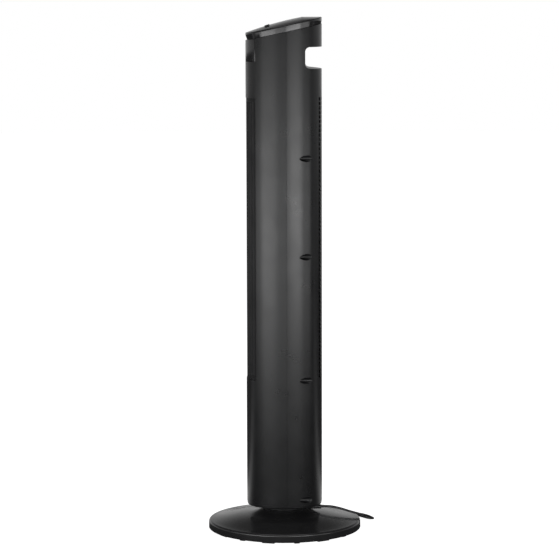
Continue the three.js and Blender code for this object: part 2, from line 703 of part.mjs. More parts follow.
const BLACK = material(0x17181a, 0.42);
const GLOSS = material(0x101113, 0.18);
const DARK = material(0x1c1d1f, 0.6);
const GREY = material(0x6c6f72, 0.6);
const STEEL = material(0x9a9da0, 0.35, 0.9);
const IRON = material(0x3b3c3e, 0.7, 0.6);
const COPPER = material(0xa8602c, 0.4, 0.9);
const BOARD = material(0x1f5a36, 0.5);
const RUBBER = material(0x151515, 0.85);
const WHITE = material(0xd8d6cf, 0.5);
const BRASS = material(0xc2a04e, 0.3, 1);

// ---------------------------------------------------------------- assembly

const fan = new THREE.Group();
const base = new THREE.Group();
const column = new THREE.Group();
fan.add(base, column);

function place(group, name, made, look) {
  const mesh = new THREE.Mesh(geometryOf(made), look);
  mesh.name = name;
  group.add(mesh);
}

place(base, "base_cover", baseCover(), GLOSS);
place(base, "base_plate", basePlate(), DARK);
place(base, "base_weight", baseWeight(), IRON);
place(base, "foot_ring", footRing(), RUBBER);
place(base, "swivel_washer", swivelWasher(), WHITE);
place(base, "swivel_retainer", swivelRetainer(), DARK);
hubScrewPlaces().forEach((at, i) => place(base, `hub_screw_${i + 1}`, hubScrew(at), STEEL));
place(base, "cord_strain_relief", strainRelief(), RUBBER);
place(base, "cord_lead", cordLead(), RUBBER);
place(base, "cord_coil", cordCoil(), RUBBER);
place(base, "plug_body", plugBody(), RUBBER);
place(base, "plug_blade_left", plugBlade(-1), BRASS);
place(base, "plug_blade_right", plugBlade(1), BRASS);

place(column, "bottom_plate", bottomPlate(), BLACK);
place(column, "front_shell", frontShell(), BLACK);
place(column, "rear_shell", rearShell(), BLACK);
place(column, "front_grille", frontGrille(), BLACK);
place(column, "display_panel", displayPanel(), GLOSS);
place(column, "lid", lid(), BLACK);
screwPlaces().forEach((at) => {
  const level = SCREW_LEVELS.indexOf(at.z) + 1;
  place(column, `case_screw_${at.side < 0 ? "left" : "right"}_${level}`, caseScrew(at), STEEL);
});
place(column, "button_board", buttonBoard(), BOARD);
place(column, "display_board", box(-36, 36, -58.6, -57, 927, 955), BOARD);
place(column, "power_board", box(-40, 40, 38, 39.6, 100, 175), BOARD);
place(column, "motor_capacitor", box(-30, 8, 20, 37.7, 110, 140), WHITE);
place(column, "duct_floor", ductPlate(DUCT_FLOOR, 14), DARK);
place(column, "duct_ceiling", ductPlate(DUCT_CEILING, 9.1), DARK);
place(column, "scroll_wall", scrollWall(), DARK);
place(column, "vortex_wall", vortexWall(), DARK);
place(column, "upper_bearing", upperBearing(), RUBBER);
place(column, "motor_cradle", motorCradle(), GREY);
place(column, "motor_stator", motorStator(), IRON);
place(column, "motor_winding_lower", motorWinding(214, STATOR_BOTTOM - GAP), COPPER);
place(column, "motor_winding_upper", motorWinding(STATOR_TOP + GAP, 272), COPPER);
place(column, "motor_cap_lower", motorCap(MOTOR_BOTTOM, STATOR_BOTTOM - GAP, true), STEEL);
place(column, "motor_cap_upper", motorCap(STATOR_TOP + GAP, MOTOR_TOP, false), STEEL);
place(column, "swing_motor_bracket", swingMotorBracket(), STEEL);
place(column, "swing_motor", swingMotor(), STEEL);

place(column, "swing_crank", swingCrank(), WHITE);
place(column, "blower_wheel", blowerWheel(), GREY);
place(column, "wheel_pin", wheelPin(), STEEL);
place(column, "motor_shaft", motorShaft(), STEEL);
place(column, "motor_rotor", motorRotor(), IRON);
buttonPlaces().forEach((at) => {
  place(column, `button_${at.name}`, button(at), DARK);
});

export default fan;
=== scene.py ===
import json
import math
import bmesh
import bpy
from mathutils import Matrix, Vector


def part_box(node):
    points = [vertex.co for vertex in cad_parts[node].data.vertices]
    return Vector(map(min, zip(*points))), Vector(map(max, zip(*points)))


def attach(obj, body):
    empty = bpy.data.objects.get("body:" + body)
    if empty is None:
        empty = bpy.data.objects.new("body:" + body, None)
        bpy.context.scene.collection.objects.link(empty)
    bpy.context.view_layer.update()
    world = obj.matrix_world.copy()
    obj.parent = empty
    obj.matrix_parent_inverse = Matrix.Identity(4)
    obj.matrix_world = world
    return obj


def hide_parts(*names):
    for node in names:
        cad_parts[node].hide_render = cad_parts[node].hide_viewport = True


# Looks of a tower fan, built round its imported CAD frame. Metres, +Z up.
# The front (air outlet) faces -Y, the rear (intake, hand grip, cord) faces +Y.

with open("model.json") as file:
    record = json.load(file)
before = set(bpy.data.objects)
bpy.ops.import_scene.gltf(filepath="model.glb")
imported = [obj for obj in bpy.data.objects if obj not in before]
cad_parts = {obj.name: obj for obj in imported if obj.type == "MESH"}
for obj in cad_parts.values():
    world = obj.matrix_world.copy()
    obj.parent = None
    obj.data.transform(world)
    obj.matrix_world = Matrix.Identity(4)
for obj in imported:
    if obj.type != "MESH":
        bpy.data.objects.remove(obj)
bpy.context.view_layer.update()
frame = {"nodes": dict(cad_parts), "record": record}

# ---------------------------------------------------------------- sizes

MM = 0.001

# Column, from the frame.
SHELL_LOW, SHELL_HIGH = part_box("rear_shell")
SEAM_Y = SHELL_LOW.y
HALF_WIDTH = SHELL_HIGH.x
REAR_MIDDLE_Y = SEAM_Y - 8 * MM  # the rear half's oval is centred a little ahead of the seam
REAR_DEPTH = SHELL_HIGH.y - REAR_MIDDLE_Y
FRONT_DEPTH = SEAM_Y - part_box("front_shell")[0].y
SHELL_BOTTOM = SHELL_LOW.z
SHELL_TOP_REAR = SHELL_HIGH.z
COLUMN_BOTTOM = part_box("bottom_plate")[0].z
LID_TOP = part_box("lid")[1].z
OVAL_POWER = 2.3  # 2 would be a plain ellipse
WALL = 2.5 * MM
OUTSIDE = 90 * MM  # a distance past the column's surface, for cutters
FAIR_WITHIN = 0.006  # how near the outline a point is, as a share, to count as on it
SHELL_SLOPE = 0.2135  # rise of the shells' top edge towards the rear

# Lid.
LID_BREAK_Y = 36 * MM
LID_FALL = 0.185  # slope of the lid's top ahead of the break, and how it steepens
LID_BEND = 0.82
LID_CROWN = 7.5 * MM  # how much lower the lid's sides are than its middle
LIP_RADIUS = 1.5 * MM
BAND_HEIGHT = 10.2 * MM  # the undercut band round the lid's side
BAND_FALL = 5 * MM
UNDERCUT_SIDE = 1.2 * MM
UNDERCUT_FRONT = 3 * MM
END_Y = 40 * MM  # the band changes from here to either end of the column
END_LENGTH = 34 * MM
BUTTON_Y = -32 * MM
BUTTON_TILT = math.atan(LID_FALL + 2 * LID_BEND * (LID_BREAK_Y - BUTTON_Y))
BUTTON_RADIUS = 5 * MM
BUTTON_PROUD = 1.2 * MM

# Openings.
GRILLE_LOW, GRILLE_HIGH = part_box("front_grille")
PANEL_LOW, PANEL_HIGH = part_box("display_panel")
GAP = 0.3 * MM
SEAM_GAP = 0.2 * MM
SLOT_ROWS = 63
SLOT_BOTTOM = 306 * MM
SLOT_PITCH = 8.73 * MM
SLOT_HEIGHT = 6.8 * MM
SLOT_SPANS = [(-34 * MM, -18 * MM), (-15 * MM, -2 * MM), (2 * MM, 15 * MM), (18 * MM, 34 * MM)]
FIN_DEPTH = 9 * MM
FIN_REACH = 30 * MM
FIN_INNER_Y = 40 * MM  # the wide cut across the fins runs from here to the next
FIN_CUT_Y = 70 * MM
SLOT_CUT_Y = 67.5 * MM  # each slot through the wall starts here
GRIP_LOW_Z = 910 * MM
GRIP_HIGH_Z = 951 * MM
GRIP_Y = 41.5 * MM
GRIP_RADIUS = 9 * MM
POCKET_RADIUS = 6.3 * MM
POCKET_FLOOR_Y = 16 * MM
TUBE_WALL = 1.9 * MM

# Base.
BASE_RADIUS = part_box("base_cover")[1].x
RIM_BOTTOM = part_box("base_cover")[0].z
RIM_TOP = 19.5 * MM
RIM_FILLET = 4.5 * MM
CROWN_TOP = 35 * MM
NECK_RADIUS = 43 * MM
NECK_TOP = 49.8 * MM
HUB_RADIUS = 30 * MM
HUB_TOP = 57.4 * MM
HUB_BORE = 12.5 * MM
NECK_CEILING = 46.8 * MM  # underside of the neck's top
SKIN = 2.8 * MM
FLARE_RADIUS = 75 * MM
FLARE_HEIGHT = 7 * MM

# Cord: flat twin lead of two strands, which lies flat at first and stands on edge in the coil.
STRAND_RADIUS = 1.95 * MM
STRAND_OFFSET = 1.85 * MM  # from the cord's middle line to a strand's
TWIST_START = 0.17  # distances along the cord between which it turns on edge
TWIST_END = 0.29
CORD_EXIT = Vector((0, 72, 42.5)) * MM
CORD_ROUTE = [  # from the neck over the rim and along the floor, in millimetres
    (0, 72, 42.5), (0, 84, 43.3), (-1, 97, 41.6), (-4, 112, 37.5), (-8, 130, 31), (-13, 148, 25),
    (-20, 162, 20.5), (-33, 173, 13), (-51, 175, 6.8), (-70, 167, 4.2), (-88, 154, 4),
    (-106, 137, 4), (-126, 112, 4), (-143, 84, 4), (-155, 56, 4), (-161, 30, 4),
]
COIL_LOW, COIL_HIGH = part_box("cord_coil")
# Radius and height of each turn of the coil, in millimetres.
COIL_TURNS = [(46.5, 4.0), (39.0, 4.0), (39.0, 11.7), (42.8, 19.4), (46.5, 11.7)]
PLUG_LOW, PLUG_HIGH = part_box("plug_body")

# ---------------------------------------------------------------- camera, light and floor

CAMERA_DISTANCE = 4.914
CAMERA_HEIGHT = 1.108
CAMERA_Y = -0.009
CAMERA_PITCH = math.radians(7.1)
CAMERA_ROLL = math.radians(-0.15)
CAMERA_LENS = 162.74
ROOM_LOW = 0.72  # light from the room behind the fan near the horizon, and from above
ROOM_HIGH = 0.08
ROOM_FRONT = 0.25  # share of that light that comes from the front
SWEEP_BEHIND = 0.95  # light from the paper sweep behind the fan and from the floor in front
SWEEP_FRONT = 0.045
SOFT_BOX_DISTANCE = 2.2
SOFT_BOXES = [  # name, azimuth in degrees, height, width, tall, watts
    ("front_softbox", -36.5, 0.39, 1.7, 0.6, 18.5),
    ("front_edge", -70, 0.39, 0.9, 0.6, 3.6),
    ("middle_softbox", -5, 0.38, 0.8, 0.6, 4.2),
    ("rear_softbox", 25, 0.45, 1.35, 0.55, 16.5),
    ("rear_edge", 58, 0.42, 1.1, 0.6, 5),
]
OVERHEAD_WATTS = 25


def link(thing):
    bpy.context.scene.collection.objects.link(thing)
    return thing


def camera():
    data = bpy.data.cameras.new("view")
    data.sensor_width = 36
    data.lens = CAMERA_LENS
    data.clip_end = 60
    made = link(bpy.data.objects.new("view", data))
    turn = Matrix.Rotation(math.pi / 2, 4, "Z")
    tilt = Matrix.Rotation(math.pi / 2 - CAMERA_PITCH, 4, "X")
    roll = Matrix.Rotation(CAMERA_ROLL, 4, "Z")
    place = Matrix.Translation((CAMERA_DISTANCE, CAMERA_Y, CAMERA_HEIGHT))
    made.matrix_world = place @ turn @ tilt @ roll
    bpy.context.scene.camera = made


def soft_box(name, azimuth, height, width, tall, watts):
    """A flat light that faces the fan; azimuth is from +X towards +Y, in degrees."""
    data = bpy.data.lights.new(name, "AREA")
    data.shape = "RECTANGLE"
    data.size = width
    data.size_y = tall
    data.energy = watts
    made = link(bpy.data.objects.new(name, data))
    angle = math.radians(azimuth)
    place = Vector((SOFT_BOX_DISTANCE * math.cos(angle),
                    SOFT_BOX_DISTANCE * math.sin(angle), height))
    made.location = place
    made.rotation_mode = "QUATERNION"
    made.rotation_quaternion = (place - Vector((0, 0, height))).to_track_quat("Z", "Y")
    made.visible_camera = False


def overhead(watts):
    data = bpy.data.lights.new("overhead", "AREA")
    data.shape = "DISK"
    data.size = 3.0
    data.energy = watts
    made = link(bpy.data.objects.new("overhead", data))
    made.location = (0.6, 0, 3.4)
    made.visible_camera = False


def by_ray(nodes, links, shown, felt, output, socket):
    """Joins two shaders: one for what the camera sees straight on, one for all other light."""
    path = nodes.new("ShaderNodeLightPath")
    mix = nodes.new("ShaderNodeMixShader")
    links.new(path.outputs["Is Camera Ray"], mix.inputs[0])
    links.new(felt, mix.inputs[1])
    links.new(shown, mix.inputs[2])
    links.new(mix.outputs[0], output.inputs[socket])


def graded(nodes, links, source, axis, low, high, value_low, value_high):
    """A value that runs evenly between two places along one axis of a vector."""
    split = nodes.new("ShaderNodeSeparateXYZ")
    span = nodes.new("ShaderNodeMapRange")
    span.interpolation_type = "SMOOTHSTEP"
    span.inputs["From Min"].default_value = low
    span.inputs["From Max"].default_value = high
    span.inputs["To Min"].default_value = value_low
    span.inputs["To Max"].default_value = value_high
    links.new(source, split.inputs[0])
    links.new(split.outputs[axis], span.inputs["Value"])
    return span.outputs["Result"]


def studio_world():
    """White to the camera; to the object a grey room that is lightest near the horizon."""
    world = bpy.data.worlds.new("studio")
    bpy.context.scene.world = world
    world.use_nodes = True
    nodes, links = world.node_tree.nodes, world.node_tree.links
    shown = nodes["Background"]
    shown.inputs["Color"].default_value = (1, 1, 1, 1)
    felt = nodes.new("ShaderNodeBackground")
    felt.inputs["Color"].default_value = (1, 1, 1, 1)
    way = nodes.new("ShaderNodeTexCoord")
    height = graded(nodes, links, way.outputs["Generated"], "Z", 0.05, 0.5, ROOM_LOW, ROOM_HIGH)
    depth = graded(nodes, links, way.outputs["Generated"], "X", -0.2, 0.4, 1, ROOM_FRONT)
    both = nodes.new("ShaderNodeMath")
    both.operation = "MULTIPLY"
    links.new(height, both.inputs[0])
    links.new(depth, both.inputs[1])
    links.new(both.outputs[0], felt.inputs["Strength"])
    by_ray(nodes, links, shown.outputs[0], felt.outputs[0], nodes["World Output"], "Surface")


def studio_floor():
    bm = bmesh.new()
    bmesh.ops.create_circle(bm, cap_ends=True, radius=12, segments=64)
    data = bpy.data.meshes.new("floor")
    bm.to_mesh(data)
    bm.free()
    made = link(bpy.data.objects.new("floor", data))
    look = bpy.data.materials.new("floor_paper")
    look.use_nodes = True
    nodes, links = look.node_tree.nodes, look.node_tree.links
    paper = nodes["Principled BSDF"]
    paper.inputs["Base Color"].default_value = (0.8, 0.8, 0.8, 1)
    paper.inputs["Roughness"].default_value = 0.9
    paper.inputs["Specular IOR Level"].default_value = 0.0
    paper.inputs["Emission Color"].default_value = (1, 1, 1, 1)
    paper.inputs["Emission Strength"].default_value = 0.97
    sweep = nodes.new("ShaderNodeEmission")
    sweep.inputs["Color"].default_value = (1, 1, 1, 1)
    place = nodes.new("ShaderNodeTexCoord")
    near = graded(nodes, links, place.outputs["Object"], "X", -0.3, 0.0, SWEEP_BEHIND, 0)
    far = graded(nodes, links, place.outputs["Object"], "X", -0.5, -0.25, 0, 1)
    both = nodes.new("ShaderNodeMath")
    both.operation = "MULTIPLY_ADD"
    both.inputs[2].default_value = SWEEP_FRONT
    links.new(near, both.inputs[0])
    links.new(far, both.inputs[1])
    links.new(both.outputs[0], sweep.inputs["Strength"])
    by_ray(nodes, links, paper.outputs[0], sweep.outputs[0], nodes["Material Output"], "Surface")
    data.materials.append(look)


camera()
studio_world()
studio_floor()
for light in SOFT_BOXES:
    soft_box(*light)
overhead(OVERHEAD_WATTS)
bpy.context.scene.view_settings.view_transform = "Standard"

# ---------------------------------------------------------------- materials


def principled(name, color, roughness, metallic=0.0, specular=0.5):
    """A new material and its shader, with the values that hold all over set on the shader."""
    look = bpy.data.materials.new(name)
    look.use_nodes = True
    shader = look.node_tree.nodes["Principled BSDF"]
    shader.inputs["Base Color"].default_value = (*color, 1)
    shader.inputs["Roughness"].default_value = roughness
    shader.inputs["Metallic"].default_value = metallic
    shader.inputs["Specular IOR Level"].default_value = specular
    look.diffuse_color = (*color, 1)
    return look, shader


def coordinates(look, scale):
    """The piece's own coordinates in metres, scaled along each axis."""
    nodes, links = look.node_tree.nodes, look.node_tree.links
    place = nodes.new("ShaderNodeTexCoord")
    mapping = nodes.new("ShaderNodeMapping")
    mapping.inputs["Scale"].default_value = scale
    links.new(place.outputs["Object"], mapping.inputs["Vector"])
    return mapping.outputs["Vector"]


def noise(look, scale, detail=3.0, stretch=(1, 1, 1)):
    node = look.node_tree.nodes.new("ShaderNodeTexNoise")
    node.inputs["Scale"].default_value = scale
    node.inputs["Detail"].default_value = detail
    look.node_tree.links.new(coordinates(look, stretch), node.inputs["Vector"])
    return node.outputs["Fac"]


def bands(look, scale, axis, distortion):
    node = look.node_tree.nodes.new("ShaderNodeTexWave")
    node.bands_direction = axis
    node.inputs["Scale"].default_value = scale
    node.inputs["Distortion"].default_value = distortion
    look.node_tree.links.new(coordinates(look, (1, 1, 1)), node.inputs["Vector"])
    return node.outputs["Fac"]


def vary_color(look, shader, source, dark, light):
    ramp = look.node_tree.nodes.new("ShaderNodeValToRGB")
    ramp.color_ramp.elements[0].position = 0.35
    ramp.color_ramp.elements[0].color = (*dark, 1)
    ramp.color_ramp.elements[1].position = 0.65
    ramp.color_ramp.elements[1].color = (*light, 1)
    look.node_tree.links.new(source, ramp.inputs["Fac"])
    look.node_tree.links.new(ramp.outputs["Color"], shader.inputs["Base Color"])


def vary_roughness(look, shader, source, smooth, rough):
    span = look.node_tree.nodes.new("ShaderNodeMapRange")
    span.inputs["From Min"].default_value = 0.3
    span.inputs["From Max"].default_value = 0.7
    span.inputs["To Min"].default_value = smooth
    span.inputs["To Max"].default_value = rough
    look.node_tree.links.new(source, span.inputs["Value"])
    look.node_tree.links.new(span.outputs["Result"], shader.inputs["Roughness"])


def bump(look, shader, source, depth):
    node = look.node_tree.nodes.new("ShaderNodeBump")
    node.inputs["Strength"].default_value = 1.0
    node.inputs["Distance"].default_value = depth
    look.node_tree.links.new(source, node.inputs["Height"])
    look.node_tree.links.new(node.outputs["Normal"], shader.inputs["Normal"])


def moulded(name, dark, light, smooth, rough, grain, depth, specular=0.5):
    """Moulded plastic: cloudy tint, uneven sheen and a fine surface grain."""
    look, shader = principled(name, light, rough, specular=specular)
    vary_color(look, shader, noise(look, 9, 4), dark, light)
    vary_roughness(look, shader, noise(look, 26, 5), smooth, rough)
    bump(look, shader, noise(look, grain, 2), depth)
    return look


def satin_black():
    return moulded("satin_black", (0.0058, 0.0060, 0.0066), (0.0082, 0.0084, 0.0090), 0.27, 0.33,
                   1400, 0.000012, 0.42)


def gloss_black():
    return moulded("gloss_black", (0.012, 0.012, 0.0125), (0.016, 0.016, 0.0165), 0.17, 0.22,
                   900, 0.000003, 0.45)


def button_black():
    return moulded("button_black", (0.012, 0.012, 0.013), (0.018, 0.018, 0.019), 0.38, 0.46,
                   1800, 0.00002)


def dark_plastic():
    return moulded("dark_plastic", (0.0060, 0.0060, 0.0065), (0.0105, 0.0105, 0.0115), 0.42, 0.5,
                   1100, 0.00002, 0.22)


def grey_plastic():
    return moulded("grey_plastic", (0.030, 0.031, 0.033), (0.045, 0.046, 0.048), 0.42, 0.55,
                   1200, 0.00003)


def pale_plastic():
    return moulded("pale_plastic", (0.60, 0.58, 0.53), (0.72, 0.70, 0.65), 0.35, 0.5, 1000, 0.00002)


def steel():
    look, shader = principled("steel", (0.50, 0.51, 0.52), 0.32, metallic=1.0)
    vary_color(look, shader, noise(look, 60, 4), (0.42, 0.43, 0.44), (0.56, 0.57, 0.58))
    vary_roughness(look, shader, noise(look, 300, 2, (1, 1, 12)), 0.24, 0.4)
    bump(look, shader, noise(look, 700, 2, (1, 1, 10)), 0.00001)
    return look


def laminated_iron():
    look, shader = principled("laminated_iron", (0.09, 0.09, 0.095), 0.6, metallic=0.8)
    sheets = bands(look, 320, "Z", 0.4)
    vary_color(look, shader, sheets, (0.05, 0.05, 0.055), (0.14, 0.14, 0.145))
    vary_roughness(look, shader, noise(look, 200), 0.5, 0.7)
    bump(look, shader, sheets, 0.0001)
    return look


def cast_weight():
    look, shader = principled("cast_weight", (0.08, 0.08, 0.085), 0.75, metallic=0.6)
    vary_color(look, shader, noise(look, 40, 6), (0.05, 0.05, 0.052), (0.11, 0.10, 0.10))
    vary_roughness(look, shader, noise(look, 120), 0.65, 0.85)
    bump(look, shader, noise(look, 260, 6), 0.0005)
    return look


def copper():
    look, shader = principled("copper", (0.55, 0.24, 0.10), 0.35, metallic=0.9)
    wire = bands(look, 420, "Z", 3.0)
    vary_color(look, shader, wire, (0.30, 0.11, 0.04), (0.62, 0.28, 0.12))
    vary_roughness(look, shader, noise(look, 150), 0.28, 0.45)
    bump(look, shader, wire, 0.0002)
    return look


def circuit_board():
    look, shader = principled("circuit_board", (0.03, 0.16, 0.07), 0.4)
    brick = look.node_tree.nodes.new("ShaderNodeTexBrick")
    brick.inputs["Scale"].default_value = 120
    brick.inputs["Mortar Size"].default_value = 0.06
    look.node_tree.links.new(coordinates(look, (1, 1, 1)), brick.inputs["Vector"])
    vary_color(look, shader, brick.outputs["Fac"], (0.02, 0.13, 0.05), (0.06, 0.26, 0.12))
    vary_roughness(look, shader, noise(look, 80), 0.3, 0.5)
    bump(look, shader, brick.outputs["Fac"], 0.00005)
    return look


def soft_rubber():
    return moulded("soft_rubber", (0.009, 0.009, 0.009), (0.016, 0.016, 0.016), 0.65, 0.8,
                   900, 0.00006)


def cord_rubber():
    look, shader = principled("cord_rubber", (0.010, 0.010, 0.011), 0.36, specular=0.5)
    vary_color(look, shader, noise(look, 30, 4), (0.007, 0.007, 0.008), (0.013, 0.013, 0.014))
    vary_roughness(look, shader, noise(look, 180, 4), 0.3, 0.42)
    bump(look, shader, noise(look, 700, 3), 0.00003)
    return look


def brass():
    look, shader = principled("brass", (0.72, 0.55, 0.25), 0.25, metallic=1.0)
    vary_color(look, shader, noise(look, 90, 4), (0.60, 0.44, 0.18), (0.76, 0.60, 0.30))
    vary_roughness(look, shader, noise(look, 400, 2, (8, 1, 1)), 0.2, 0.36)
    bump(look, shader, noise(look, 800, 2, (8, 1, 1)), 0.00001)
    return look


LOOKS = {make.__name__: make() for make in (
    satin_black, gloss_black, button_black, dark_plastic, grey_plastic, pale_plastic, steel,
    laminated_iron, cast_weight, copper, circuit_board, soft_rubber, cord_rubber, brass)}

# ---------------------------------------------------------------- mesh tools


def piece(name, vertices, faces):
    data = bpy.data.meshes.new(name)
    data.from_pydata([tuple(v) for v in vertices], [], faces)
    made = link(bpy.data.objects.new(name, data))
    tidy(made)
    return made


def tidy(made):
    """Merges doubled points and turns every face outward."""
    bm = bmesh.new()
    bm.from_mesh(made.data)
    bmesh.ops.remove_doubles(bm, verts=bm.verts, dist=1e-6)
    bmesh.ops.recalc_face_normals(bm, faces=bm.faces)
    bm.to_mesh(made.data)
    bm.free()


def smooth(made, limit=30):
    """Smooth shading, with edges sharper than the limit in degrees left crisp."""
    bm = bmesh.new()
    bm.from_mesh(made.data)
    for face in bm.faces:
        face.smooth = True
    for edge in bm.edges:
        edge.smooth = len(edge.link_faces) == 2 and edge.calc_face_angle(0) < math.radians(limit)
    bm.to_mesh(made.data)
    bm.free()


def soften(made, width, segments, chosen=lambda edge: True):
    """Rounds the chosen edges that turn by more than 40 degrees."""
    bm = bmesh.new()
    bm.from_mesh(made.data)
    edges = [e for e in bm.edges
             if len(e.link_faces) == 2 and e.calc_face_angle(0) > math.radians(40) and chosen(e)]
    bmesh.ops.bevel(bm, geom=edges, offset=width, segments=segments, profile=0.5,
                    affect="EDGES", clamp_overlap=True)
    bm.to_mesh(made.data)
    bm.free()


def combine(made, other, operation):
    """A boolean of two closed meshes, kept in the first; the second is used up."""
    modifier = made.modifiers.new("combine", "BOOLEAN")
    modifier.operation = operation
    modifier.solver = "MANIFOLD"
    modifier.object = other
    scene_state = bpy.context.evaluated_depsgraph_get()
    data = bpy.data.meshes.new_from_object(made.evaluated_get(scene_state))
    made.modifiers.clear()
    old = made.data
    made.data = data
    data.name = made.name
    bpy.data.meshes.remove(old)
    bpy.data.objects.remove(other)
    return made


def loft(name, rings):
    """A closed skin over rings of equally many points; flat ends close the first and last."""
    count = len(rings[0])
    vertices = [point for ring in rings for point in ring]
    faces = []
    for level in range(len(rings) - 1):
        for i in range(count):
            a, b = level * count + i, level * count + (i + 1) % count
            faces.append((a, b, b + count, a + count))
    faces.append(tuple(reversed(range(count))))
    faces.append(tuple(range(len(vertices) - count, len(vertices))))
    return piece(name, vertices, faces)


def hoop_loft(name, rings):
    """A skin over rings that closes on itself, from the last ring back to the first."""
    count = len(rings[0])
    vertices = [point for ring in rings for point in ring]
    total = len(vertices)
    faces = []
    for level in range(len(rings)):
        for i in range(count):
            a, b = level * count + i, level * count + (i + 1) % count
            faces.append((a, b, (b + count) % total, (a + count) % total))
    return piece(name, vertices, faces)


def lathe(name, profile, sides, y=0.0):
    """A closed profile of (radius, height) points turned about an upright axis."""
    rings = []
    for radius, z in profile:
        rings.append([Vector((radius * math.cos(turn), y + radius * math.sin(turn), z))
                      for turn in (2 * math.pi * i / sides for i in range(sides))])
    return hoop_loft(name, rings)


def prism(name, outline, z_low, z_high):
    """A plan outline raised between two heights, each a number or a function of y."""
    low = z_low if callable(z_low) else lambda y: z_low
    high = z_high if callable(z_high) else lambda y: z_high
    return loft(name, [[Vector((x, y, low(y))) for x, y in outline],
                       [Vector((x, y, high(y))) for x, y in outline]])


def side_prism(name, outline, x_low, x_high):
    """An outline of (y, z) points run across the column."""
    return loft(name, [[Vector((x, y, z)) for y, z in outline] for x in (x_low, x_high)])


def block(name, low, high):
    outline = [(low[0], low[1]), (high[0], low[1]), (high[0], high[1]), (low[0], high[1])]
    return prism(name, outline, low[2], high[2])


def merged(name, objects):
    """Several separate bodies as one mesh."""
    bm = bmesh.new()
    for one in objects:
        one.data.transform(one.matrix_world)
        bm.from_mesh(one.data)
        bpy.data.objects.remove(one)
    data = bpy.data.meshes.new(name)
    bm.to_mesh(data)
    bm.free()
    return link(bpy.data.objects.new(name, data))


def rod_y(name, radius, y_low, y_high, x, z):
    sides = 40
    rings = []
    for y in (y_low, y_high):
        rings.append([Vector((x + radius * math.cos(turn), y, z + radius * math.sin(turn)))
                      for turn in (2 * math.pi * i / sides for i in range(sides))])
    return loft(name, rings)


def rounded(share, power):
    """A share from -1 to 1 raised to a power with its sign kept, for rounded boxes."""
    return math.copysign(abs(share) ** power, share)


def arc(center_a, center_b, radius, start, end, steps):
    """Points of an arc, angles in degrees."""
    points = []
    for i in range(steps + 1):
        turn = math.radians(start + (end - start) * i / steps)
        points.append((center_a + radius * math.cos(turn), center_b + radius * math.sin(turn)))
    return points


def spline(points, steps):
    """A smooth curve through the points."""
    made = []
    last = len(points) - 1
    for i in range(last):
        p0, p1, p2, p3 = (points[max(0, min(last, k))] for k in (i - 1, i, i + 1, i + 2))
        for step in range(steps):
            t = step / steps
            made.append(0.5 * (2 * p1 + (p2 - p0) * t + (2 * p0 - 5 * p1 + 4 * p2 - p3) * t ** 2
                               + (3 * p1 - p0 - 3 * p2 + p3) * t ** 3))
    return made + [points[-1]]


def finish(made, body, slot, *nodes, limit=30):
    """Gives a piece its shading, material and body, and hides the CAD nodes that it stands for."""
    smooth(made, limit)
    made.data.materials.clear()
    made.data.materials.append(LOOKS[slot])
    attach(made, body)
    if nodes:
        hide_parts(*nodes)


# ---------------------------------------------------------------- column outline


def oval_half(behind, inset):
    """The middle line and the depth of the outline's rear or front half."""
    if behind:
        return REAR_MIDDLE_Y, REAR_DEPTH - inset
    return SEAM_Y, FRONT_DEPTH - inset


def outline_point(turn, inset):
    """A point of the column's outline; turn 0 to pi is the rear half, from right to left."""
    across, along = math.cos(turn), math.sin(turn)
    middle, depth = oval_half(along > 0, inset)
    round_off = 2 / OVAL_POWER
    x = (HALF_WIDTH - inset) * rounded(across, round_off)
    y = middle + depth * rounded(along, round_off)
    return x, y


def seam_turn(behind, inset, gap):
    """How far round from the widest point the outline's half meets the seam, less a gap."""
    middle, depth = oval_half(behind, inset)
    away = (SEAM_Y - middle if behind else 0) + gap
    return math.asin((away / depth) ** (OVAL_POWER / 2))


def arc_of_outline(inset, start, end, steps):
    return [outline_point(start + (end - start) * i / steps, inset) for i in range(steps + 1)]


def half_outline(behind, inset, gap, steps=120):
    """The rear half from right to left, or the front half from left to right."""
    start = seam_turn(behind, inset, gap)
    base = 0 if behind else math.pi
    return arc_of_outline(inset, base + start, base + math.pi - start, steps)


def full_outline(inset=0.0):
    return half_outline(True, inset, 0, 80)[:-1] + half_outline(False, inset, 0, 80)[:-1]


def front_y(x, inset=0.0):
    """The outline's foremost y at a distance across the column."""
    share = 1 - (abs(x) / (HALF_WIDTH - inset)) ** OVAL_POWER
    return SEAM_Y - (FRONT_DEPTH - inset) * share ** (1 / OVAL_POWER)


def shell_top(y):
    return SHELL_TOP_REAR + SHELL_SLOPE * (y - SHELL_HIGH.y)


def fair(made):
    """Gives the faces that lie on the column's outline the outline's own normals."""
    data = made.data
    normals = [Vector((0, 0, 0))] * len(data.loops)
    for face in data.polygons:
        if abs(face.normal.z) > 0.02:
            continue
        corners = [data.vertices[i].co for i in face.vertices]
        if all(abs(closeness(corner) - 1) < FAIR_WITHIN for corner in corners):
            behind = face.center.y > SEAM_Y
            for loop in face.loop_indices:
                corner = data.vertices[data.loops[loop].vertex_index].co
                normals[loop] = outline_normal(corner, behind)
    data.normals_split_custom_set(normals)


def closeness(point):
    """1 for a point on the column's outline, less inside it."""
    middle, depth = oval_half(point.y > SEAM_Y, 0)
    return (abs(point.x / HALF_WIDTH) ** OVAL_POWER
            + abs((point.y - middle) / depth) ** OVAL_POWER) ** (1 / OVAL_POWER)


def outline_normal(point, behind):
    middle, depth = oval_half(behind, 0)
    power = OVAL_POWER - 1
    along = point.y - middle
    return Vector((
        math.copysign(abs(point.x) ** power / HALF_WIDTH ** OVAL_POWER, point.x),
        math.copysign(abs(along) ** power / depth ** OVAL_POWER, along), 0)).normalized()


# ---------------------------------------------------------------- shells


def half_wall(name, behind):
    ring = half_outline(behind, 0, SEAM_GAP) + half_outline(behind, WALL, SEAM_GAP)[::-1]
    return prism(name, ring, SHELL_BOTTOM, shell_top)


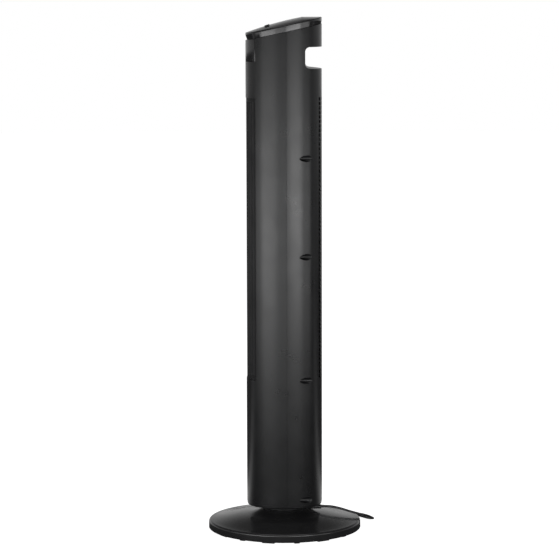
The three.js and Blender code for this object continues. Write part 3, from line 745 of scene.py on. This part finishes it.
def grip_outline(margin):
    """The hand grip's hollow as (y, z) points, with round inner corners."""
    radius = GRIP_RADIUS + margin
    low, high = GRIP_LOW_Z - margin, GRIP_HIGH_Z + margin
    inner, outer = GRIP_Y - margin, 90 * MM
    points = [(outer, low - 3 * MM), (outer, high)]
    points += arc(inner + radius, high - radius, radius, 90, 180, 10)
    points += arc(inner + radius, low + radius, radius, 180, 270, 10)
    return points


def screw_places():
    """Middle of each case screw's head, from the frame."""
    places = []
    for side in ("left", "right"):
        for level in range(1, 5):
            node = f"case_screw_{side}_{level}"
            low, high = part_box(node)
            places.append((node, (low.x + high.x) / 2, (low.z + high.z) / 2, high.y))
    return places


def intake_cutters():
    """Rows of four slots through the wall; behind them each row is one slot across the fins."""
    cutters = []
    for row in range(SLOT_ROWS):
        z = SLOT_BOTTOM + row * SLOT_PITCH
        reach = FIN_REACH + MM
        cutters.append(block("slot", (-reach, FIN_INNER_Y, z), (reach, FIN_CUT_Y, z + SLOT_HEIGHT)))
        for x_low, x_high in SLOT_SPANS:
            cutters.append(block("slot", (x_low, SLOT_CUT_Y, z + 0.1 * MM),
                                 (x_high, OUTSIDE, z + SLOT_HEIGHT - 0.1 * MM)))
    return merged("slots", cutters)


def rear_shell():
    """The wall with the hand grip's lining, screw tubes and a block of fins, then all its holes."""
    made = half_wall("rear_shell_skin", True)
    inside = prism("inside", half_outline(True, 0.3 * MM, SEAM_GAP), SHELL_BOTTOM, shell_top)
    lining = side_prism("lining", grip_outline(WALL), -80 * MM, 80 * MM)
    fins = block("fins", (-FIN_REACH, SHELL_HIGH.y - FIN_DEPTH - 3 * MM, SLOT_BOTTOM - 4 * MM),
                 (FIN_REACH, OUTSIDE, SLOT_BOTTOM + SLOT_ROWS * SLOT_PITCH + 2 * MM))
    tubes = [rod_y("tube", POCKET_RADIUS + TUBE_WALL, POCKET_FLOOR_Y - WALL, 70 * MM, x, z)
             for _, x, z, _ in screw_places()]
    extra = combine(merged("extra", [lining, fins, *tubes]), inside, "INTERSECT")
    combine(made, extra, "UNION")
    combine(made, side_prism("grip", grip_outline(0), -OUTSIDE, OUTSIDE), "DIFFERENCE")
    holes = [rod_y("hole", POCKET_RADIUS, POCKET_FLOOR_Y, OUTSIDE, x, z)
             for _, x, z, _ in screw_places()]
    combine(made, merged("holes", holes), "DIFFERENCE")
    combine(made, intake_cutters(), "DIFFERENCE")
    finish(made, "column", "satin_black", "rear_shell")
    fair(made)


def seam_tongues():
    """Strips of the front shell that reach behind the seam and keep light out."""
    profile = [(60.6, -4), (62.6, -4), (62.6, 4.6), (61.6, 4.6), (61.6, 9.6), (60.6, 9.6)]
    strips = []
    for side in (-1, 1):
        points = [(side * x * MM, y * MM) for x, y in profile]
        strips.append(prism("tongue", points, SHELL_BOTTOM, shell_top))
    return merged("tongues", strips)


def front_shell():
    made = half_wall("front_shell_skin", False)
    combine(made, seam_tongues(), "UNION")
    half = GRILLE_HIGH.x + GAP
    outlet = block("outlet", (-half, -0.1, GRILLE_LOW.z - GAP), (half, -0.03, GRILLE_HIGH.z + GAP))
    panel = block("panel", (-half, -0.1, PANEL_LOW.z - GAP), (half, -0.03, 1.1))
    combine(made, outlet, "DIFFERENCE")
    combine(made, panel, "DIFFERENCE")
    level = PANEL_LOW.z - GAP
    soften(made, 1.2 * MM, 1, lambda e: all(abs(v.co.z - level) < 1e-5 for v in e.verts))
    finish(made, "column", "satin_black", "front_shell")
    fair(made)


def front_grille():
    """Upright slats with rounded noses, held by a bar at each end and two set back between."""
    inset = 1.2 * MM
    low, high = GRILLE_LOW.z, GRILLE_HIGH.z
    half = GRILLE_HIGH.x
    depth = 11 * MM

    def blade(name, x, thick, z_low, z_high):
        nose = thick / 2
        tip = front_y(x, inset)
        points = [(x + nose * math.cos(a), tip + nose * 0.8 - nose * math.sin(a))
                  for a in (math.pi * i / 10 for i in range(11))]
        points += [(x - nose, tip + depth), (x + nose, tip + depth)]
        return prism(name, points, z_low, z_high)

    def bar(name, z_low, z_high, back):
        across = [half * (i / 20 - 1) for i in range(41)]
        points = [(x, front_y(x, inset + back)) for x in across]
        points += [(x, front_y(x, inset + back) + depth - back) for x in reversed(across)]
        return prism(name, points, z_low, z_high)

    pitch, side_thick, end_tall = 7.8 * MM, 2.5 * MM, 7 * MM
    blades = [blade("slat", (i - 5) * pitch, 2 * MM, low, high) for i in range(11)]
    blades += [blade("side", side * (half - side_thick / 2), side_thick, low, high)
               for side in (-1, 1)]
    bars = [bar("bar", low, low + end_tall, 0), bar("bar", high - end_tall, high, 0)]
    for way in (1 / 3, 2 / 3):
        middle = low + (high - low) * way
        bars.append(bar("bar", middle - 1.5 * MM, middle + 1.5 * MM, 4 * MM))
    made = combine(merged("front_grille_slats", blades), merged("bars", bars), "UNION")
    finish(made, "column", "dark_plastic", "front_grille")


def display_panel():
    half = PANEL_HIGH.x
    across = [half * (i / 30 - 1) for i in range(61)]
    points = [(x, front_y(x)) for x in across]
    points += [(x, front_y(x, 3 * MM)) for x in reversed(across)]
    made = prism("display_window", points, PANEL_LOW.z, shell_top)
    soften(made, 1.1 * MM, 2)
    finish(made, "column", "gloss_black", "display_panel", limit=40)


def bottom_plate():
    """The column's rounded foot: an oval plate with a round hole for the fixed hub."""
    radius = 2.6 * MM
    levels = [(4.5 * MM, COLUMN_BOTTOM)]
    levels += [(radius * (1 - math.sin(a)) + 0.6 * MM, COLUMN_BOTTOM + radius * (1 - math.cos(a)))
               for a in (math.pi / 2 * i / 6 for i in range(1, 7))]
    levels.append((0.6 * MM, SHELL_BOTTOM - GAP))
    rings = [[Vector((x, y, z)) for x, y in full_outline(inset)] for inset, z in levels]
    made = loft("bottom_foot", rings)
    hole = lathe_rod("hub_hole", HUB_RADIUS + 0.8 * MM, 40 * MM, 70 * MM)
    combine(made, hole, "DIFFERENCE")
    finish(made, "column", "satin_black", "bottom_plate")


def lathe_rod(name, radius, z_low, z_high, sides=96):
    return loft(name, [[Vector((radius * math.cos(a), radius * math.sin(a), z))
                        for a in (2 * math.pi * i / sides for i in range(sides))]
                       for z in (z_low, z_high)])


# ---------------------------------------------------------------- lid and buttons


def lid_surface(x, y):
    forward = max(0.0, LID_BREAK_Y - y)
    crest = LID_TOP - LID_FALL * forward - LID_BEND * forward ** 2
    return crest - LID_CROWN * (x / HALF_WIDTH) ** 2


def lid():
    """A crowned cap with a rolled lip over an undercut band, and a well for each button."""
    rim = full_outline()

    def drawn_in(x, y, inset):
        return x * (1 - inset / HALF_WIDTH), SEAM_Y + (y - SEAM_Y) * (1 - inset / FRONT_DEPTH)

    def ring(inset_at, height_at):
        points = []
        for x, y in rim:
            px, py = drawn_in(x, y, inset_at(y))
            points.append(Vector((px, py, height_at(px, py))))
        return points

    rings = []
    for step in range(1, 21):
        share = step / 20
        edge = HALF_WIDTH * (1 - share) + LIP_RADIUS * share
        rings.append(ring(lambda y, e=edge: e, lid_surface))
    for step in range(1, 5):
        turn = math.pi / 2 * step / 4
        inset = LIP_RADIUS * (1 - math.sin(turn))
        drop = LIP_RADIUS * (1 - math.cos(turn))
        rings.append(ring(lambda y, e=inset: e, lambda x, y, d=drop: lid_surface(x, y) - d))

    def band_top(y):
        return shell_top(y) + BAND_HEIGHT - BAND_FALL * max(0, (y - END_Y) / END_LENGTH) ** 2

    def undercut(y):
        forward = max(0, (-END_Y - y) / END_LENGTH)
        return UNDERCUT_SIDE + (UNDERCUT_FRONT - UNDERCUT_SIDE) * forward

    rings.append(ring(lambda y: 0.0, lambda x, y: band_top(y) + 0.1 * MM))
    rings.append(ring(lambda y: 0.02 * MM, lambda x, y: band_top(y)))
    rings.append(ring(undercut, lambda x, y: shell_top(y) + 0.8 * MM))
    rings.append(ring(lambda y: 3.4 * MM, lambda x, y: shell_top(y) - 3.5 * MM))
    made = loft("lid_cap", rings)
    wells = [tilted_rod("well", place, BUTTON_RADIUS + 0.35 * MM, -4 * MM, 6 * MM)
             for _, place in button_places()]
    combine(made, merged("wells", wells), "DIFFERENCE")
    finish(made, "column", "gloss_black", "lid", limit=15)


def button_places():
    """Name of each button and the point on the lid where its axis comes out."""
    places = []
    for name in ("power", "speed", "swing", "timer", "mode"):
        low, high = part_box(f"button_{name}")
        x = (low.x + high.x) / 2
        places.append((name, Vector((x, BUTTON_Y, lid_surface(x, BUTTON_Y)))))
    return places


def tilt_at(place):
    return Matrix.Translation(place) @ Matrix.Rotation(BUTTON_TILT, 4, "X")


def tilted_rod(name, place, radius, low, high):
    made = lathe_rod(name, radius, low, high, 48)
    made.data.transform(tilt_at(place))
    return made


def button(name, place):
    """A round key with a rolled rim and a shallow dish for the finger."""
    proud, roll = BUTTON_PROUD, 0.7 * MM
    profile = [(0.0001 * MM, -3 * MM), (BUTTON_RADIUS, -3 * MM), (BUTTON_RADIUS, proud - roll)]
    profile += [(BUTTON_RADIUS - roll * (1 - math.cos(a)), proud - roll * (1 - math.sin(a)))
                for a in (math.pi / 2 * i / 5 for i in range(1, 6))]
    dish = BUTTON_RADIUS - roll
    profile += [(dish * share, proud - 0.5 * MM * (1 - share ** 2))
                for share in (0.8, 0.6, 0.4, 0.2)]
    profile.append((0.0001 * MM, proud - 0.5 * MM))
    made = lathe(f"{name}_key", profile, 48)
    made.data.transform(tilt_at(place))
    finish(made, f"{name}_button", "button_black", f"button_{name}")


# ---------------------------------------------------------------- blower and screws


def blower_wheel():
    """Leaning blades between round plates; only the end plates are nearly closed."""
    low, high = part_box("blower_wheel")
    axis_y = (low.y + high.y) / 2
    outer = 42 * MM
    bottom = 306 * MM
    blades = 30
    blade_depth, half_thick = 9.5 * MM, 0.5 * MM
    plate_count, plate_thick = 7, 2 * MM
    made = []
    for i in range(blades):
        turn = 2 * math.pi * i / blades
        edge_out, edge_in = [], []
        for step in range(7):
            share = step / 6
            radius = outer - 0.4 * MM - blade_depth * share
            lean = turn + 0.24 * share + 0.10 * share ** 2
            for edge, offset in ((edge_out, half_thick), (edge_in, -half_thick)):
                angle = lean + offset / radius
                edge.append((radius * math.cos(angle), axis_y + radius * math.sin(angle)))
        made.append(prism("blade", edge_out + edge_in[::-1], bottom + MM, high.z - MM))
    cage = merged("cage", made)
    plates = []
    for i in range(plate_count):
        z = bottom + (high.z - bottom - plate_thick) * i / (plate_count - 1)
        inner = 6 * MM if i in (0, plate_count - 1) else 29 * MM
        plates.append(lathe("plate", [(inner, z), (outer, z), (outer, z + plate_thick),
                                      (inner, z + plate_thick)], 72, axis_y))
    wheel = combine(cage, merged("plates", plates), "UNION")
    wheel.name = "blower_wheel_cage"
    finish(wheel, "wheel", "grey_plastic", "blower_wheel")


def case_screw(node, x, z, head_y):
    """A pan head with a cross recess on a plain shank."""
    profile = [(0.0001 * MM, 0), (3.6 * MM, 0), (3.6 * MM, 1.2 * MM), (3.2 * MM, 1.9 * MM),
               (2.2 * MM, 2.4 * MM), (0.0001 * MM, 2.6 * MM)]
    made = lathe(f"{node}_head", profile, 32)
    for turn in (0, math.pi / 2):
        arm = block("arm", (-2 * MM, -0.4 * MM, 1.2 * MM), (2 * MM, 0.4 * MM, 4 * MM))
        arm.data.transform(Matrix.Rotation(turn, 4, "Z"))
        combine(made, arm, "DIFFERENCE")
    shank = lathe_rod("shank", 1.7 * MM, -22 * MM, 0.5 * MM, 24)
    combine(made, shank, "UNION")
    stand = Matrix.Translation((x, head_y - 2.6 * MM, z)) @ Matrix.Rotation(-math.pi / 2, 4, "X")
    made.data.transform(stand)
    finish(made, "column", "steel", node)


# ---------------------------------------------------------------- base


def crown_height(radius):
    """Height of the base's top: a low dome that flares up towards the neck."""
    flare = FLARE_HEIGHT * (max(0, FLARE_RADIUS - radius) / (FLARE_RADIUS - NECK_RADIUS)) ** 2
    way = min(1, (BASE_RADIUS - RIM_FILLET - radius) / (BASE_RADIUS - RIM_FILLET - NECK_RADIUS))
    return RIM_TOP + (CROWN_TOP - RIM_TOP) * math.sin(way * math.pi / 2) ** 1.25 + flare


def base_cover():
    profile = [(BASE_RADIUS - 0.6 * MM, RIM_BOTTOM), (BASE_RADIUS, RIM_BOTTOM + 0.6 * MM)]
    profile += [(BASE_RADIUS - RIM_FILLET * (1 - math.cos(a)),
                 RIM_TOP - RIM_FILLET * (1 - math.sin(a)))
                for a in (math.pi / 2 * i / 8 for i in range(9))]
    fillet = 1.5 * MM
    neck_foot = NECK_RADIUS - 4 * MM
    steps = 40
    span = BASE_RADIUS - RIM_FILLET - neck_foot - fillet
    for i in range(1, steps + 1):
        radius = BASE_RADIUS - RIM_FILLET - span * i / steps
        profile.append((radius, crown_height(radius)))
    middle = neck_foot + fillet
    profile += arc(middle, crown_height(middle) + fillet, fillet, 270, 200, 5)[1:]
    profile += [(NECK_RADIUS, NECK_TOP - 0.8 * MM), (NECK_RADIUS - 0.8 * MM, NECK_TOP),
                (HUB_RADIUS, NECK_TOP), (HUB_RADIUS, HUB_TOP), (HUB_BORE, HUB_TOP),
                (HUB_BORE, NECK_CEILING), (40 * MM, NECK_CEILING), (40 * MM, 32 * MM)]
    profile += [(radius, crown_height(radius) - SKIN)
                for radius in (BASE_RADIUS * share for share in (0.4, 0.55, 0.7, 0.85, 0.95))]
    profile += [(BASE_RADIUS - SKIN, RIM_TOP - 4 * MM), (BASE_RADIUS - SKIN, RIM_BOTTOM)]
    made = lathe("base_dome", profile, 240)
    finish(made, "base", "gloss_black", "base_cover")


def foot_ring():
    """A thin hoop under the rim, with wide and narrow pads by turns."""
    low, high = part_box("foot_ring")
    outer = high.x
    hoop_width, hoop_bottom = 12 * MM, 1.9 * MM
    inner = outer - hoop_width
    hoop = lathe("hoop", [(inner, hoop_bottom), (outer, hoop_bottom), (outer, high.z),
                          (inner, high.z)], 160)
    pad_inset, pad_tall = 0.8 * MM, 2.4 * MM
    first_turn, count = -13, 16
    pads = []
    for i in range(count):
        width = 11 * MM if i % 2 else 25 * MM
        pad = block("pad", (outer - hoop_width - pad_inset, -width / 2, 0),
                    (outer - pad_inset, width / 2, pad_tall))
        soften(pad, 0.7 * MM, 3)
        pad.data.transform(Matrix.Rotation(math.radians(first_turn + i * 360 / count), 4, "Z"))
        pads.append(pad)
    made = combine(hoop, merged("pads", pads), "UNION")
    made.name = "foot_hoop"
    finish(made, "base", "soft_rubber", "foot_ring")


# ---------------------------------------------------------------- cord, plug and strain relief


def coil_points():
    """The turns of the stored cord: each keeps its radius and height and shifts near its end."""
    centre = Vector(((COIL_LOW.x + COIL_HIGH.x) / 2, (COIL_LOW.y + COIL_HIGH.y) / 2, 0))
    per_turn = 48
    shift = 0.2
    points = []
    total = int((len(COIL_TURNS) + 0.25) * per_turn)
    for step in range(total + 1):
        turn = step / per_turn
        whole = min(int(turn), len(COIL_TURNS) - 1)
        radius, height = COIL_TURNS[whole]
        if whole + 1 < len(COIL_TURNS) and turn - whole > 1 - shift:
            way = (turn - whole - 1 + shift) / shift
            ease = way * way * (3 - 2 * way)
            radius += (COIL_TURNS[whole + 1][0] - radius) * ease
            height += (COIL_TURNS[whole + 1][1] - height) * ease
        angle = -2 * math.pi * turn
        around = Vector((radius * math.cos(angle), radius * math.sin(angle), height))
        points.append(centre + around * MM)
    return points


def cord_path():
    lead = [Vector(p) * MM for p in CORD_ROUTE]
    coil = coil_points()
    plug_start = Vector((PLUG_HIGH.x, (PLUG_LOW.y + PLUG_HIGH.y) / 2,
                         (PLUG_LOW.z + PLUG_HIGH.z) / 2))
    before_coil = lead[-1] + Vector((-4 * MM, -16 * MM, 0))
    before_plug = plug_start + Vector((14 * MM, 0, 1.5 * MM))
    joined = spline(lead + [before_coil, coil[0], coil[3]], 8)
    tail = spline([coil[-3], coil[-1], before_plug, plug_start], 6)
    return joined[:-1] + coil[3:-3] + tail


def twin_section():
    """The cord's section as (across, up) points: two strands joined by a narrow web."""
    web = 30
    upper = arc(0, STRAND_OFFSET, STRAND_RADIUS, -90 + web, 270 - web, 14)
    lower = arc(0, -STRAND_OFFSET, STRAND_RADIUS, 90 + web, 450 - web, 14)
    return upper + lower


def swept(name, path, section):
    """A tube along a path, with closed ends, that turns from lying flat to standing on edge."""
    rings = []
    gone = 0.0
    for i, point in enumerate(path):
        before = path[max(i - 1, 0)]
        gone += (point - before).length
        along = (path[min(i + 1, len(path) - 1)] - before).normalized()
        across = along.cross(Vector((0, 0, 1))).normalized()
        up = across.cross(along)
        share = min(1, max(0, (gone - TWIST_START) / (TWIST_END - TWIST_START)))
        turn = math.pi / 2 * (1 - share * share * (3 - 2 * share))
        side = across * math.cos(turn) + up * math.sin(turn)
        top = up * math.cos(turn) - across * math.sin(turn)
        rings.append([point + side * a + top * b for a, b in section])
    return loft(name, rings)


def mains_cord():
    path = cord_path()
    made = swept("mains_cord", path, twin_section())
    finish(made, "base", "cord_rubber", "cord_lead", "cord_coil", limit=50)
    return made, path


def cord_tie():
    """A twist tie round the coil's side nearest the base."""
    centre_x = (COIL_LOW.x + COIL_HIGH.x) / 2
    centre_y = (COIL_LOW.y + COIL_HIGH.y) / 2
    from_centre, height = 42.75 * MM, 11.75 * MM
    half_wide, half_tall = 8.3 * MM, 11.9 * MM
    thick, wide = 0.5 * MM, 2.2 * MM
    section = [(-thick, -wide), (thick, -wide), (thick, wide), (-thick, wide)]
    rings = []
    for i in range(36):
        turn = 2 * math.pi * i / 36
        out = Vector((0, half_wide * rounded(math.cos(turn), 0.45),
                      half_tall * rounded(math.sin(turn), 0.45)))
        normal = Vector((0, math.cos(turn), math.sin(turn)))
        base = Vector((centre_x, centre_y + from_centre, height))
        rings.append([base + out + normal * a + Vector((b, 0, 0)) for a, b in section])
    made = hoop_loft("cord_tie", rings)
    finish(made, "base", "cord_rubber")
    return made


def strain_relief():
    """A collar against the neck and a tapered, slotted sleeve along the cord."""
    low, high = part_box("cord_strain_relief")
    start, end = low.y + 5.4 * MM, high.y
    z = CORD_EXIT.z
    ribbed = end - start - 3.4 * MM
    profile = [(0.0001 * MM, low.y), (4.2 * MM, low.y), (4.2 * MM, start), (5.6 * MM, start),
               (5.9 * MM, start + 0.3 * MM), (5.9 * MM, start + 2 * MM),
               (5.5 * MM, start + 2.4 * MM)]
    ribs = 7
    for i in range(ribs):
        way = i / ribs
        y = start + 2.6 * MM + ribbed * way
        radius = 5.2 * MM - 1.0 * MM * way
        step = ribbed / ribs
        profile += [(radius - 0.8 * MM, y), (radius - 0.8 * MM, y + step * 0.35),
                    (radius, y + step * 0.42), (radius - 0.08 * MM, y + step * 0.95)]
    profile += [(4.1 * MM, end - 0.4 * MM), (3.9 * MM, end), (0.0001 * MM, end)]
    sides = 32
    rings = []
    for radius, y in profile:
        rings.append([Vector((radius * math.cos(a), y, z + radius * math.sin(a)))
                      for a in (2 * math.pi * i / sides for i in range(sides))])
    made = hoop_loft("cord_sleeve", rings)
    finish(made, "base", "cord_rubber", "cord_strain_relief")
    return made


def plug():
    """The plug: a moulded body that widens from the cord to its flat face, with finger grooves."""
    middle_y = (PLUG_LOW.y + PLUG_HIGH.y) / 2
    middle_z = (PLUG_LOW.z + PLUG_HIGH.z) / 2
    length = PLUG_HIGH.x - PLUG_LOW.x
    # Share of the length, half width and half height in millimetres.
    stations = [(0, 4.6, 4.4), (0.06, 5.0, 4.8), (0.14, 6.2, 5.4), (0.24, 8.0, 6.2),
                (0.36, 9.2, 6.8), (0.5, 9.6, 7.0), (0.64, 10.2, 7.2), (0.78, 11.2, 7.6),
                (0.88, 11.8, 7.9), (0.97, 11.9, 7.9), (1.0, 11.2, 7.2)]
    rings = []
    for way, half_wide, half_tall in stations:
        ring = []
        for i in range(40):
            turn = 2 * math.pi * i / 40
            y = rounded(math.cos(turn), 0.6) * half_wide * MM
            z = rounded(math.sin(turn), 0.6) * half_tall * MM
            ring.append(Vector((PLUG_HIGH.x - way * length, middle_y + y, middle_z + z)))
        rings.append(ring)
    made = loft("plug_grip", rings)
    for i in range(4):
        x = PLUG_HIGH.x - (0.42 + 0.08 * i) * length
        for side in (-1, 1):
            y = middle_y + side * 11.4 * MM
            cut = block("cut", (x - 0.5 * MM, y - 2.6 * MM, PLUG_LOW.z + 3 * MM),
                        (x + 0.5 * MM, y + 2.6 * MM, PLUG_HIGH.z - 3 * MM))
            combine(made, cut, "DIFFERENCE")
    finish(made, "base", "cord_rubber", "plug_body")
    return made


# ---------------------------------------------------------------- make everything

rear_shell()
front_shell()
front_grille()
display_panel()
bottom_plate()
lid()
for button_name, button_place in button_places():
    button(button_name, button_place)
blower_wheel()
for screw in screw_places():
    case_screw(*screw)
base_cover()
foot_ring()

cord, cord_line = mains_cord()
tie = cord_tie()
sleeve = strain_relief()
plug_piece = plug()

slots = {part["node"]: part["material_slot"] for part in frame["record"]["subparts"]}
for node_name, node in frame["nodes"].items():
    if not node.hide_render:
        node.data.materials.clear()
        node.data.materials.append(LOOKS[slots[node_name]])
        smooth(node)
